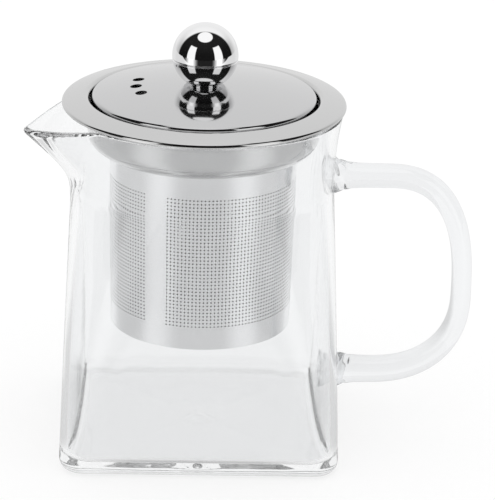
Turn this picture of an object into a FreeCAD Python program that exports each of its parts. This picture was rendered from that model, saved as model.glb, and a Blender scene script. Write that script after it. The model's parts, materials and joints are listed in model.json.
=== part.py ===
# Glass teapot with a lift-out steel infuser and a domed lid. Millimetres, +Z up.
# The origin is the centre of the underside. The spout points to -X and the handle to +X.
import FreeCAD, Part
import math
import os

from FreeCAD import Rotation, Vector

# Glass body: a rounded square at the base, a circle from the neck up
base_width = 90.0
base_corner_radius = 8.0
bottom_edge_radius = 4.0
neck_height = 86.0
neck_side_angle = 20.0
body_height = 111.3
mouth_radius = 45.0
mouth_flare = 2.5
glass_wall = 2.4
floor_thickness = 4.0
floor_edge_radius = 3.0
floor_mark_radius = 5.0
floor_mark_rise = 0.6

# Spout: a V lip drawn out of the neck, with its rim sloping down to the tip
spout_reach = 58.2
spout_tip_height = 102.8
spout_root_height = 86.0
spout_keel_angle = 41.0
spout_tip_radius = 3.2
spout_rim_slope = 0.34
spout_levels = 5

# Handle: an oval glass rod bent to a D
handle_reach = 88.9
handle_upper_height = 88.2
handle_lower_height = 20.5
handle_bend_height = 49.0
handle_upper_arm = 17.0
handle_lower_arm = 11.5
rod_width = 9.2
rod_upper_thickness = 7.9
rod_grip_thickness = 6.2
rod_lower_thickness = 8.9
weld_flare = 1.6
weld_length = 4.5

# Infuser collar: flange on the rim, pan below it
sheet = 0.7
seat_gap = 0.15
flange_overhang = 0.66
flange_slope = 12.0
flange_hem_depth = 1.5
flange_hem_radius = 0.9
flange_bend_radius = 1.4
pan_gap = 5.0
pan_depth = 15.6
pan_corner_radius = 7.4
strainer_inset = 7.6

# Strainer: a rolled perforated wall and a shallow perforated cup as its base
strainer_sheet = 0.5
strainer_length = 58.4
strainer_fit = 0.05
base_cup_height = 3.0
hole_side = 1.4
hole_pitch = 7.0
plain_band_top = 8.0
plain_band_bottom = 7.0
plain_strip_angle = 12.9
plain_strip_middle = -119.85

# Lid: a dome with a deep skirt that stands in the pan
lid_sheet = 0.6
lid_gap = 0.85
lid_crown = 4.4
lid_rise = 3.8
lid_edge_radius = 1.2
vent_radius = 1.9
vent_arc_radius = 22.0
vent_arc_offset = 1.1
vent_middle = 184.0
vent_step = 19.0

# Knob: a hollow ball of two pressed halves, screwed on from under the lid
ball_radius = 10.6
ball_sheet = 0.7
ball_seam_drop = 1.1
ball_foot_drop = 8.3
neck_spacer_radius = 4.8
neck_spacer_height = 0.8
screw_radius = 2.0
screw_fit = 0.05
screw_head_radius = 3.8
screw_head_height = 2.2
washer_radius = 5.0
washer_thickness = 0.8
nut_radius = 4.5
nut_height = 5.0

# Places that follow from the sizes above
base_half = base_width / 2
neck_radius = mouth_radius - mouth_flare
mouth_inner = mouth_radius - glass_wall
flange_radius = mouth_radius + flange_overhang
hem_foot = body_height + seat_gap
hem_r = flange_radius - flange_hem_radius
hem_z = hem_foot + flange_hem_depth - flange_hem_radius
pan_radius = mouth_inner - pan_gap
pan_inner = pan_radius - sheet
pan_corner_r = pan_radius - pan_corner_radius
strainer_radius = pan_radius - strainer_inset
strainer_inner = strainer_radius - strainer_sheet
slope_sin = math.sin(math.radians(flange_slope))
slope_cos = math.cos(math.radians(flange_slope))
flange_level = slope_sin * hem_r + slope_cos * hem_z + flange_hem_radius
bend_r = pan_inner + flange_bend_radius
bend_z = (flange_level - flange_bend_radius - slope_sin * bend_r) / slope_cos
flange_top = bend_z + flange_bend_radius * slope_cos
pan_bottom = bend_z - pan_depth
pan_corner_z = pan_bottom + pan_corner_radius
strainer_top = pan_bottom + sheet
strainer_bottom = pan_bottom - strainer_length
lid_radius = pan_inner - lid_gap
lid_top = flange_top + lid_crown
dome_radius = (lid_radius ** 2 + lid_rise ** 2) / (2 * lid_rise)
dome_centre = lid_top - dome_radius
ball_foot = lid_top + neck_spacer_height
ball_centre = ball_foot + ball_foot_drop
screw_hole = screw_radius + screw_fit


def radial(angle, radius, z=0.0):
    """The point at an angle in degrees from +X, at a radius and a height."""
    turn = math.radians(angle)
    return Vector(radius * math.cos(turn), radius * math.sin(turn), z)


def arc(start, middle, end):
    return Part.Arc(start, middle, end).toShape()


def line(start, end):
    return Part.LineSegment(start, end).toShape()


def lathe(start, *steps):
    """Solid of revolution of an outline in (radius, height): a pair is a line, two pairs an arc."""
    edges = []
    last = Vector(start[0], 0, start[1])
    for step in steps:
        if isinstance(step[0], tuple):
            middle, end = (Vector(r, 0, z) for r, z in step)
            edges.append(arc(last, middle, end))
        else:
            end = Vector(step[0], 0, step[1])
            edges.append(line(last, end))
        last = end
    face = Part.Face(Part.Wire(edges))
    return face.revolve(Vector(0, 0, 0), Vector(0, 0, 1), 360)


def on_circle(centre_r, centre_z, radius, angle):
    """Point of a profile circle, as (radius, height), at an angle in degrees from outwards."""
    turn = math.radians(angle)
    return (centre_r + radius * math.cos(turn), centre_z + radius * math.sin(turn))


def flare_radius(z):
    """Outer radius of the glass from the neck up: an arc that leaves the neck upright."""
    rise = body_height - neck_height
    spread = mouth_radius - neck_radius
    sweep = (rise ** 2 + spread ** 2) / (2 * spread)
    return neck_radius + sweep - math.sqrt(sweep ** 2 - (z - neck_height) ** 2)


def side_distance(z):
    """Distance from the axis to the middle of a side, at a height."""
    if z > neck_height:
        return flare_radius(z)
    return base_half + (neck_radius - base_half) * z / neck_height


def square_section(z, inset):
    """Rounded square as eight edges: each side is followed by its corner."""
    half = base_half - inset
    radius = base_corner_radius - inset
    flat = half - radius
    edges = []
    for turn in range(0, 360, 90):
        quarter = Rotation(Vector(0, 0, 1), turn)
        points = [
            Vector(half, -flat, z),
            Vector(half, flat, z),
            radial(45, radius) + Vector(flat, flat, z),
            Vector(flat, half, z),
        ]
        start, end, middle, last = (quarter.multVec(p) for p in points)
        edges.append(line(start, end))
        edges.append(arc(end, middle, last))
    return Part.Wire(edges)


def round_section(z, radius):
    """Circle split at the same eight places as the rounded square."""
    half_side = neck_side_angle / 2
    edges = []
    for turn in range(0, 360, 90):
        for start, end in ((-half_side, half_side), (half_side, 90 - half_side)):
            points = [radial(turn + a, radius, z) for a in (start, (start + end) / 2, end)]
            edges.append(arc(*points))
    return Part.Wire(edges)


def spout_section(z, inset):
    """Outline of the V lip at a height: tangents from a tip arc to the round neck, closed by a chord."""
    keel_slope = math.tan(math.radians(spout_keel_angle))
    keel_inset = inset / math.sin(math.radians(spout_keel_angle))
    keel = spout_reach - (spout_tip_height - z) / keel_slope - keel_inset
    tip = spout_tip_radius - inset
    neck = flare_radius(max(z, neck_height)) - inset
    centre = max(keel - tip, neck - tip + spout_tip_radius / 10)
    angle = math.degrees(math.acos((neck - tip) / centre))
    offset = Vector(-centre, 0, 0)
    root = [radial(180 - angle, neck, z), radial(180 + angle, neck, z)]
    lip = [radial(180 + a, tip, z) + offset for a in (-angle, 0, angle)]
    return Part.Wire([line(root[0], lip[0]), arc(*lip), line(lip[2], root[1]), line(root[1], root[0])])


def glass_form(inset, floor):
    """Filled form of the glass, drawn in by an inset and standing on a floor height."""
    ends = [square_section(floor, inset), round_section(neck_height, neck_radius - inset)]
    lower = Part.makeLoft(ends, True, True)
    edges = [e for e in lower.Edges if e.BoundBox.ZMax < floor + 0.01]
    lower = lower.makeFillet(floor_edge_radius if inset else bottom_edge_radius, edges)
    middle_z = (neck_height + body_height) / 2
    upper = lathe(
        (0, neck_height),
        (neck_radius - inset, neck_height),
        ((flare_radius(middle_z) - inset, middle_z), (mouth_radius - inset, body_height)),
        (0, body_height),
        (0, neck_height),
    )
    step = (body_height - spout_root_height) / (spout_levels - 1)
    sections = [spout_section(spout_root_height + step * n, inset) for n in range(spout_levels)]
    lip = Part.makeLoft(sections, True, True)
    return lower.fuse([upper, lip])


def rim_cut():
    """Wedge above the sloping rim of the spout."""
    reach = 2 * base_width
    hinge = -spout_reach + (body_height - spout_tip_height) / spout_rim_slope
    low = body_height - (hinge + reach) * spout_rim_slope
    points = [
        Vector(hinge, -reach, body_height),
        Vector(hinge, -reach, 2 * body_height),
        Vector(-reach, -reach, 2 * body_height),
        Vector(-reach, -reach, low),
    ]
    face = Part.Face(Part.makePolygon(points + points[:1]))
    return face.extrude(Vector(0, 2 * reach, 0))


def glass_body(outer):
    hollow = glass_form(glass_wall, floor_thickness)
    above = Part.makeCylinder(2 * mouth_radius, body_height, Vector(0, 0, body_height))
    cap = (floor_mark_radius ** 2 + floor_mark_rise ** 2) / (2 * floor_mark_rise)
    mark = Part.makeSphere(cap, Vector(0, 0, floor_thickness + floor_mark_rise - cap))
    foot = Vector(0, 0, floor_thickness / 2)
    mark = mark.common(Part.makeCylinder(2 * floor_mark_radius, floor_thickness, foot))
    return outer.cut([hollow, rim_cut(), above]).fuse(mark).removeSplitter()


def rod_section(x, z, heading, thickness, width):
    """Oval across the rod: thickness in the plane of the handle, width across it."""
    turn = math.radians(heading)
    across = Vector(-math.sin(turn), 0, math.cos(turn))
    sideways = Vector(0, 1, 0)
    centre = Vector(x, 0, z)
    if thickness > width:
        oval = Part.Ellipse(centre + across * (thickness / 2), centre + sideways * (width / 2), centre)
    else:
        oval = Part.Ellipse(centre + sideways * (width / 2), centre + across * (thickness / 2), centre)
    return Part.Wire(oval.toShape())


def handle(outer):
    grip_x = handle_reach - rod_grip_thickness / 2
    sections = []
    arms = [
        (handle_upper_height, handle_upper_arm, rod_upper_thickness, 0, 1),
        (handle_lower_height, handle_lower_arm, rod_lower_thickness, 180, -1),
    ]
    for z, arm, thickness, heading, way in arms:
        face_x = side_distance(z)
        weld = [(-glass_wall / 2, 1), (0, 1), (weld_length / 3, 0.4), (weld_length, 0)]
        ends = [
            rod_section(
                face_x + out, z, heading, thickness + 2 * weld_flare * share, rod_width + 2 * weld_flare * share
            )
            for out, share in weld
        ]
        bend_x = face_x + arm
        bend = []
        for angle in (90, 67.5, 45, 22.5, 0):
            turn = math.radians(angle)
            wide = grip_x - bend_x
            tall = z - handle_bend_height
            x = bend_x + wide * math.cos(turn)
            height = handle_bend_height + tall * math.sin(turn)
            slope = math.degrees(math.atan2(tall * math.cos(turn), -wide * math.sin(turn)))
            share = math.sin(turn) ** 2
            oval = rod_grip_thickness + (thickness - rod_grip_thickness) * share
            bend.append(rod_section(x, height, slope, oval, rod_width))
        run = ends + bend
        sections += run if way > 0 else run[-2::-1]
    return Part.makeLoft(sections, True, False).cut(outer)


def flange_under(radius):
    """Height of the flange's underside at a radius."""
    return (flange_level - sheet - slope_sin * radius) / slope_cos


def infuser_collar():
    lean = 90 - flange_slope
    half_turn = (180 + lean) / 2
    hollow = pan_corner_radius - sheet
    hole = strainer_radius + strainer_fit
    hem_inner = flange_radius - sheet
    return lathe(
        on_circle(hem_r, hem_z, flange_hem_radius, lean),
        on_circle(bend_r, bend_z, flange_bend_radius, lean),
        (on_circle(bend_r, bend_z, flange_bend_radius, half_turn), (pan_inner, bend_z)),
        (pan_inner, pan_corner_z),
        (on_circle(pan_corner_r, pan_corner_z, hollow, -45), (pan_corner_r, strainer_top)),
        (hole, strainer_top),
        (hole, pan_bottom),
        (pan_corner_r, pan_bottom),
        (on_circle(pan_corner_r, pan_corner_z, pan_corner_radius, -45), (pan_radius, pan_corner_z)),
        (pan_radius, flange_under(pan_radius)),
        (hem_inner, flange_under(hem_inner)),
        (hem_inner, hem_foot),
        (flange_radius, hem_foot),
        (flange_radius, hem_z),
        (
            on_circle(hem_r, hem_z, flange_hem_radius, lean / 2),
            on_circle(hem_r, hem_z, flange_hem_radius, lean),
        ),
    )


def wall_holes():
    """Square grid of radial holes, all round except the plain strip."""
    low = strainer_bottom + plain_band_bottom
    rows = int((pan_bottom - plain_band_top - low) / hole_pitch) + 1
    span = 360 - plain_strip_angle
    columns = int(math.radians(span) * strainer_radius / hole_pitch)
    punch = Part.makeBox(4 * strainer_sheet, hole_side, hole_side)
    punch.translate(Vector(strainer_radius - 2 * strainer_sheet, -hole_side / 2, -hole_side / 2))
    holes = []
    for column in range(columns):
        angle = plain_strip_middle + plain_strip_angle / 2 + span * (column + 0.5) / columns
        for row in range(rows):
            hole = punch.copy()
            hole.translate(Vector(0, 0, low + row * hole_pitch))
            hole.rotate(Vector(0, 0, 0), Vector(0, 0, 1), angle)
            holes.append(hole)
    return holes


def strainer_wall():
    length = strainer_top - strainer_bottom
    foot = Vector(0, 0, strainer_bottom)
    tube = Part.makeCylinder(strainer_radius, length, foot)
    tube = tube.cut(Part.makeCylinder(strainer_inner, length, foot))
    return tube.cut(wall_holes())


def strainer_base():
    outer = strainer_inner - strainer_fit
    inner = outer - strainer_sheet
    cup = Part.makeCylinder(outer, base_cup_height, Vector(0, 0, strainer_bottom))
    floor = strainer_bottom + strainer_sheet
    cup = cup.cut(Part.makeCylinder(inner, base_cup_height, Vector(0, 0, floor)))
    reach = inner - hole_pitch
    count = int(reach / hole_pitch)
    holes = []
    for i in range(-count, count + 1):
        for j in range(-count, count + 1):
            x, y = i * hole_pitch, j * hole_pitch
            if math.hypot(x, y) <= reach:
                corner = Vector(x - hole_side / 2, y - hole_side / 2, strainer_bottom - strainer_sheet)
                holes.append(Part.makeBox(hole_side, hole_side, 3 * strainer_sheet, corner))
    return cup.cut(holes)


def dome_height(radius, inset):
    """Height of the dome at a radius, drawn in by an inset."""
    return dome_centre + math.sqrt((dome_radius - inset) ** 2 - radius ** 2)


def lid_dome():
    edge_r = lid_radius - lid_edge_radius
    edge_z = dome_centre + math.sqrt((dome_radius - lid_edge_radius) ** 2 - edge_r ** 2)
    lean = math.degrees(math.atan2(edge_z - dome_centre, edge_r))
    inner = lid_radius - lid_sheet
    hollow = pan_corner_radius - sheet
    foot = pan_corner_z - math.sqrt(hollow ** 2 - (lid_radius - pan_corner_r) ** 2) + seat_gap
    middle_r = lid_radius / 2
    dome = lathe(
        (screw_hole, dome_height(screw_hole, 0)),
        ((middle_r, dome_height(middle_r, 0)), on_circle(edge_r, edge_z, lid_edge_radius, lean)),
        (on_circle(edge_r, edge_z, lid_edge_radius, lean / 2), (lid_radius, edge_z)),
        (lid_radius, foot),
        (inner, foot),
        (inner, dome_height(inner, lid_sheet)),
        ((middle_r, dome_height(middle_r, lid_sheet)), (screw_hole, dome_height(screw_hole, lid_sheet))),
        (screw_hole, dome_height(screw_hole, 0)),
    )
    vents = []
    for n in (-1, 0, 1):
        centre = radial(vent_middle + n * vent_step, vent_arc_radius, dome_centre)
        centre = centre + Vector(0, vent_arc_offset, 0)
        vents.append(Part.makeCylinder(vent_radius, 2 * dome_radius, centre))
    return dome.cut(vents)


def ball_form(inset):
    """Ball with a flat foot, drawn in by an inset."""
    ball = Part.makeSphere(ball_radius - inset, Vector(0, 0, ball_centre))
    foot = Vector(0, 0, ball_foot + inset)
    return ball.cut(Part.makeCylinder(ball_radius, ball_radius, foot, Vector(0, 0, -1)))


def ball_half(upper):
    """Half of the ball's shell, split a little below its widest."""
    shell = ball_form(0).cut(ball_form(ball_sheet))
    seam = Vector(0, 0, ball_centre - ball_seam_drop)
    block = Part.makeCylinder(2 * ball_radius, 2 * ball_radius, seam, Vector(0, 0, 1 if upper else -1))
    half = shell.common(block)
    return half if upper else half.cut(screw_bore())


def screw_bore():
    return Part.makeCylinder(screw_hole, 2 * ball_radius, Vector(0, 0, ball_centre - 2 * ball_radius))


def knob_neck():
    """Spacer under the ball's flat foot, hollowed to the dome."""
    foot = Vector(0, 0, dome_height(neck_spacer_radius, 0))
    post = Part.makeCylinder(neck_spacer_radius, ball_foot - foot.z, foot)
    dome = Part.makeSphere(dome_radius, Vector(0, 0, dome_centre))
    return post.cut([dome, screw_bore()])


def knob_nut():
    """Threaded boss on the inside of the ball's foot."""
    post = Part.makeCylinder(nut_radius, nut_height, Vector(0, 0, ball_foot + ball_sheet))
    return post.cut(screw_bore())


def washer_top():
    return dome_height(washer_radius, lid_sheet)


def screw_washer():
    foot = Vector(0, 0, washer_top() - washer_thickness)
    disc = Part.makeCylinder(washer_radius, washer_thickness, foot)
    return disc.cut(Part.makeCylinder(screw_hole, washer_thickness, foot))


def knob_screw():
    under = washer_top() - washer_thickness
    head = under - screw_head_height
    chamfer = screw_head_height / 2
    tip = ball_foot + ball_sheet + nut_height
    return lathe(
        (0, head),
        (screw_head_radius - chamfer, head),
        (screw_head_radius, under - chamfer),
        (screw_head_radius, under),
        (screw_radius, under),
        (screw_radius, tip),
        (0, tip),
        (0, head),
    )


def write(node, shape):
    shape.exportStep("parts/" + node + ".step")


os.makedirs("parts", exist_ok=True)
glass = glass_form(0, 0)
write("glass_body", glass_body(glass))
write("handle", handle(glass))
write("infuser_collar", infuser_collar())
write("strainer_wall", strainer_wall())
write("strainer_base", strainer_base())
write("lid_dome", lid_dome())
write("knob_upper_half", ball_half(True))
write("knob_lower_half", ball_half(False))
write("knob_neck", knob_neck())
write("knob_nut", knob_nut())
write("knob_screw", knob_screw())
write("screw_washer", screw_washer())
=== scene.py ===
"""Dress the glass teapot: glass body and handle, steel infuser, domed lid and ball knob.

Sizes are in millimetres in the classes and become metres when a mesh is written.
"""
from __future__ import annotations

import json
import logging
import math
from dataclasses import dataclass, replace
from enum import Enum

import bmesh
import bpy
import numpy as np
from mathutils import Matrix, Vector

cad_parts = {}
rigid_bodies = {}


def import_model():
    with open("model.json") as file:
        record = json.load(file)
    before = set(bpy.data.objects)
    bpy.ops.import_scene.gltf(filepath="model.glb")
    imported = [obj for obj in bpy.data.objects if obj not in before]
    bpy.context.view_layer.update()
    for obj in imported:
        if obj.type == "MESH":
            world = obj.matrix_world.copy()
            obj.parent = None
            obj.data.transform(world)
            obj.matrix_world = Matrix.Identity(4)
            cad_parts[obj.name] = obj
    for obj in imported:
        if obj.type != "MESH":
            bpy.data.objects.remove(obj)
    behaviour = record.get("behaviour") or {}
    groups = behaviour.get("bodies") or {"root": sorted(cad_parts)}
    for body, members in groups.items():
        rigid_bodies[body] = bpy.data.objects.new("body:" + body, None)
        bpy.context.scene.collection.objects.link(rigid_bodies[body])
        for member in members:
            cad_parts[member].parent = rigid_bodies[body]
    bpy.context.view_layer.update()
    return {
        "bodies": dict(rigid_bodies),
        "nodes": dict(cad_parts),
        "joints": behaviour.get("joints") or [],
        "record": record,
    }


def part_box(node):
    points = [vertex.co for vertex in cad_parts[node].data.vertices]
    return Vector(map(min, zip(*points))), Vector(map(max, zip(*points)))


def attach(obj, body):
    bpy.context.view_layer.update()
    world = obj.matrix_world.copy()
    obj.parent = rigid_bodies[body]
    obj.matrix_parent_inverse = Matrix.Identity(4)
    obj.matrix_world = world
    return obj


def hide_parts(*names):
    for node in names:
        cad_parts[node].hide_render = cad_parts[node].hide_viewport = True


Pair = tuple[float, float]
Triple = tuple[float, float, float]
Socket = bpy.types.NodeSocket

LOG = logging.getLogger("teapot")
MM = 0.001
MERGE_DISTANCE = 4e-6
SHARP_ANGLE = 42.0
FLANGE_OVERHANG = 0.66
SEAT_GAP = 0.15
TINY = 1e-6
RISE, FALL = (0.0, 1.0), (1.0, 0.0)


class Body(Enum):
    """Bodies of the frame that pieces ride on."""

    POT = "pot"
    INFUSER = "infuser"
    LID = "lid"


class Slot(Enum):
    """Material slots of the record, passed with each new piece."""

    GLASS = "clear_glass"
    COLLAR = "polished_steel"
    STRAINER = "strainer_steel"
    LID = "lid_steel"
    KNOB = "knob_steel"


class Grain(Enum):
    """Ways that the polishing marks run on a steel piece."""

    RINGS = "rings round the axis"
    UPRIGHT = "lines along the axis"
    NONE = "no direction"


# Mesh helpers


def grid_quads(rows: int, columns: int) -> np.ndarray:
    """Quads of a grid of points stored row by row, whose last column joins the first.

    Args:
        rows: Number of rows of points.
        columns: Number of points in a row.

    Returns:
        Vertex indices, four to a quad.
    """
    row = np.arange(rows - 1)[:, None] * columns
    here = np.arange(columns)[None, :]
    beside = (here + 1) % columns
    quads = np.stack([row + here, row + beside, row + columns + beside, row + columns + here], axis=-1)
    return quads.reshape(-1, 4)


def mesh_piece(
    name: str, points: np.ndarray, quads: np.ndarray, closed: bool = True
) -> bpy.types.Object:
    """Write points and quads into a new object at the origin.

    Doubles are merged, which closes seams and poles, and a closed shell gets its faces turned outwards.

    Args:
        name: Name of the piece.
        points: Points in millimetres, three to a row.
        quads: Vertex indices, four to a row.
        closed: True for a closed shell.

    Returns:
        The object, linked to the scene.
    """
    mesh = bpy.data.meshes.new(name)
    mesh.from_pydata(points * MM, [], quads)
    work = bmesh.new()
    work.from_mesh(mesh)
    bmesh.ops.remove_doubles(work, verts=work.verts, dist=MERGE_DISTANCE)
    if closed:
        bmesh.ops.recalc_face_normals(work, faces=work.faces)
    work.to_mesh(mesh)
    work.free()
    mesh.shade_smooth()
    mesh.set_sharp_from_angle(angle=math.radians(SHARP_ANGLE))
    piece = bpy.data.objects.new(name, mesh)
    bpy.context.scene.collection.objects.link(piece)
    return piece


def circle(angle: np.ndarray) -> np.ndarray:
    """Points (cos, sin) of the unit circle at angles in radians."""
    return np.stack([np.cos(angle), np.sin(angle)], axis=-1)


def lathe_points(profile: np.ndarray, columns: int) -> np.ndarray:
    """Carry a profile round the Z axis: x = r cos a, y = r sin a, z as given.

    Args:
        profile: Rows of (radius, height).
        columns: Number of steps round the axis.

    Returns:
        Grid points, one row of the grid for each point of the profile.
    """
    angle = np.linspace(0, 2 * np.pi, columns, endpoint=False)
    radius = profile[:, :1]
    height = np.broadcast_to(profile[:, 1:], (len(profile), columns))
    return np.stack([radius * np.cos(angle), radius * np.sin(angle), height], axis=-1).reshape(-1, 3)


def lathe_piece(name: str, profile: np.ndarray, columns: int) -> bpy.types.Object:
    """Turned closed piece from an outline of (radius, height) rows.

    Args:
        name: Name of the piece.
        profile: Rows of (radius, height), with the first repeated last.
        columns: Number of steps round the axis.

    Returns:
        The object.
    """
    return mesh_piece(name, lathe_points(profile, columns), grid_quads(len(profile), columns))


def arc_points(centre: Pair, radius: float, start: float, end: float, count: int) -> np.ndarray:
    """Points of a profile arc: centre plus radius times (cos, sin) of evenly spaced angles in degrees.

    Args:
        centre: Centre as (radius, height).
        radius: Radius of the arc.
        start: First angle.
        end: Last angle.
        count: Number of points.

    Returns:
        Rows of (radius, height).
    """
    return np.array(centre) + radius * circle(np.radians(np.linspace(start, end, count)))


def rounded_outline(corners: list[Triple], count: int = 9) -> np.ndarray:
    """Closed outline with rounded corners.

    Each corner is replaced by the arc that touches both of its sides: its centre lies on the bisector,
    at the corner radius over the sine of half the angle between the sides.

    Args:
        corners: Rows of (radius, height, corner radius).
        count: Points on each rounded corner.

    Returns:
        Rows of (radius, height), with the first repeated at the end.
    """
    spots = np.array([corner[:2] for corner in corners], float)
    rows = []
    for index, (_, _, bend) in enumerate(corners):
        here = spots[index]
        back = spots[index - 1] - here
        ahead = spots[(index + 1) % len(spots)] - here
        back = back / np.linalg.norm(back)
        ahead = ahead / np.linalg.norm(ahead)
        half = math.acos(float(np.clip(back @ ahead, -1, 1))) / 2
        middle = (back + ahead) / np.linalg.norm(back + ahead)
        centre = here + middle * bend / math.sin(half)
        first = here + back * bend / math.tan(half) - centre
        last = here + ahead * bend / math.tan(half) - centre
        start = math.degrees(math.atan2(first[1], first[0]))
        turn = math.degrees(math.atan2(last[1], last[0])) - start
        turn = (turn + 180) % 360 - 180
        rows.append(arc_points((centre[0], centre[1]), bend, start, start + turn, count))
    outline = np.concatenate(rows)
    return np.concatenate([outline, outline[:1]])


def sheet_piece(name: str, points: np.ndarray, inward: np.ndarray, quads: np.ndarray) -> bpy.types.Object:
    """Closed sheet from its outer face.

    The inner face is a copy of the outer one moved by the inward steps. Wherever an edge belongs to one
    quad only, a quad across the thickness joins the two faces.

    Args:
        name: Name of the piece.
        points: Points of the outer face in millimetres.
        inward: Steps from the outer to the inner face, one for each point.
        quads: Vertex indices of the outer face, four to a row.

    Returns:
        The object.
    """
    count = len(points)
    _, same = np.unique(np.round(points, 4), axis=0, return_inverse=True)
    same = same.ravel()
    edges = np.stack([quads, np.roll(quads, -1, axis=1)], axis=-1).reshape(-1, 2)
    ends = np.sort(same[edges], axis=1)
    _, first, uses = np.unique(ends, axis=0, return_index=True, return_counts=True)
    border = edges[first[(uses == 1) & (ends[first, 0] != ends[first, 1])]]
    walls = np.column_stack([border[:, ::-1], border + count])
    every = np.concatenate([quads, quads[:, ::-1] + count, walls])
    return mesh_piece(name, np.concatenate([points, points + inward]), every)


def dress(piece: bpy.types.Object, body: Body, slot: Slot, finish: bpy.types.Material, *nodes: str) -> None:
    """Put a piece on its body, in place of its solids, with its finish.

    Args:
        piece: The new piece.
        body: Body that it rides on.
        slot: Slot of the record that its finish comes from; not used.
        finish: Its material.
        nodes: Solids that it stands for.
    """
    piece.data.materials.clear()
    piece.data.materials.append(finish)
    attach(piece, body.value)
    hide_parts(*nodes)
    LOG.info("%s: %d faces", piece.name, len(piece.data.polygons))


# Finishes


@dataclass(frozen=True)
class NodeBench:
    """Short ways to add and join shader nodes in one tree."""

    tree: bpy.types.NodeTree

    def add(self, kind: str, **values: object) -> bpy.types.Node:
        """New node with its properties set."""
        node = self.tree.nodes.new(kind)
        for key, value in values.items():
            setattr(node, key, value)
        return node

    def join(self, source: Socket, target: Socket) -> None:
        """Link one socket to another."""
        self.tree.links.new(source, target)

    def math(self, operation: str, first: object, second: object = 0.0) -> Socket:
        """Math node on two sockets or numbers.

        Args:
            operation: Blender's name of the operation.
            first: Socket or number.
            second: Socket or number.

        Returns:
            The result's socket.
        """
        node = self.add("ShaderNodeMath", operation=operation)
        for index, value in enumerate((first, second)):
            if isinstance(value, Socket):
                self.join(value, node.inputs[index])
            else:
                node.inputs[index].default_value = value
        return node.outputs[0]

    def product(self, first: object, *others: object) -> Socket:
        """Product of sockets or numbers."""
        for other in others:
            first = self.math("MULTIPLY", first, other)
        return first

    def choose(self, factor: object, off: object, on: object) -> Socket:
        """Mix of two levels by a factor: off plus the factor times the step from off to on.

        Args:
            factor: Socket between 0 and 1.
            off: Socket or number at 0.
            on: Socket or number at 1.

        Returns:
            The level's socket.
        """
        return self.math("ADD", self.product(self.math("SUBTRACT", on, off), factor), off)

    def ramp(
        self, value: Socket, edges: Pair, levels: Pair = RISE
    ) -> Socket:
        """Smooth step of a value.

        Args:
            value: Socket that is read.
            edges: Values at which the step starts and ends.
            levels: Results before and after the step.

        Returns:
            The result's socket.
        """
        node = self.add("ShaderNodeMapRange", interpolation_type="SMOOTHSTEP")
        self.join(value, node.inputs["Value"])
        for name, number in zip(("From Min", "From Max", "To Min", "To Max"), (*edges, *levels)):
            node.inputs[name].default_value = number
        return node.outputs["Result"]

    def here(self, kind: str = "Object") -> Socket:
        """Texture coordinate of a kind."""
        return self.add("ShaderNodeTexCoord").outputs[kind]

    def split(self, place: Socket) -> bpy.types.NodeOutputs:
        """The three coordinates of a place."""
        node = self.add("ShaderNodeSeparateXYZ")
        self.join(place, node.inputs[0])
        return node.outputs

    def squares(self, x: Socket, y: Socket) -> Socket:
        """Sum of two squares."""
        return self.math("ADD", self.product(x, x), self.product(y, y))

    def noise(self, place: Socket, scale: float, detail: float) -> Socket:
        """Noise at a place.

        Args:
            place: Vector socket.
            scale: Waves to the unit of the place.
            detail: Octaves.

        Returns:
            The value's socket.
        """
        node = self.add("ShaderNodeTexNoise")
        node.inputs["Scale"].default_value = scale
        node.inputs["Detail"].default_value = detail
        self.join(place, node.inputs["Vector"])
        return node.outputs["Fac"]

    def bump(self, height: Socket, distance: float, strength: float) -> Socket:
        """Bumped normal from a height.

        Args:
            height: Value socket.
            distance: Height of a step from 0 to 1, in metres.
            strength: Share of the bump that shows.

        Returns:
            The normal's socket.
        """
        node = self.add("ShaderNodeBump")
        node.inputs["Distance"].default_value = distance
        node.inputs["Strength"].default_value = strength
        self.join(height, node.inputs["Height"])
        return node.outputs["Normal"]


def new_material(name: str) -> tuple[bpy.types.Material, NodeBench, bpy.types.Node]:
    """Empty node material.

    Args:
        name: Name of the finish.

    Returns:
        The material, its bench and its Principled shader.
    """
    material = bpy.data.materials.new(name)
    material.use_nodes = True
    bench = NodeBench(material.node_tree)
    shader = material.node_tree.nodes["Principled BSDF"]
    return material, bench, shader


@dataclass(frozen=True)
class ClearGlass:
    """Fire-polished borosilicate: clear, faintly grey, with slow ripples from blowing."""

    name: str
    tint: Triple = (0.958, 0.963, 0.967)
    index: float = 1.47
    ripple_scale: float = 55.0
    ripple_detail: float = 2.0
    ripple_height: float = 0.00004

    def material(self) -> bpy.types.Material:
        """Glass with a rippled surface."""
        material, bench, shader = new_material(self.name)
        shader.inputs["Base Color"].default_value = (*self.tint, 1)
        shader.inputs["Roughness"].default_value = 0.0
        shader.inputs["IOR"].default_value = self.index
        shader.inputs["Transmission Weight"].default_value = 1.0
        ripple = bench.noise(bench.here(), self.ripple_scale, self.ripple_detail)
        bench.join(bench.bump(ripple, self.ripple_height, 1.0), shader.inputs["Normal"])
        return material


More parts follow.
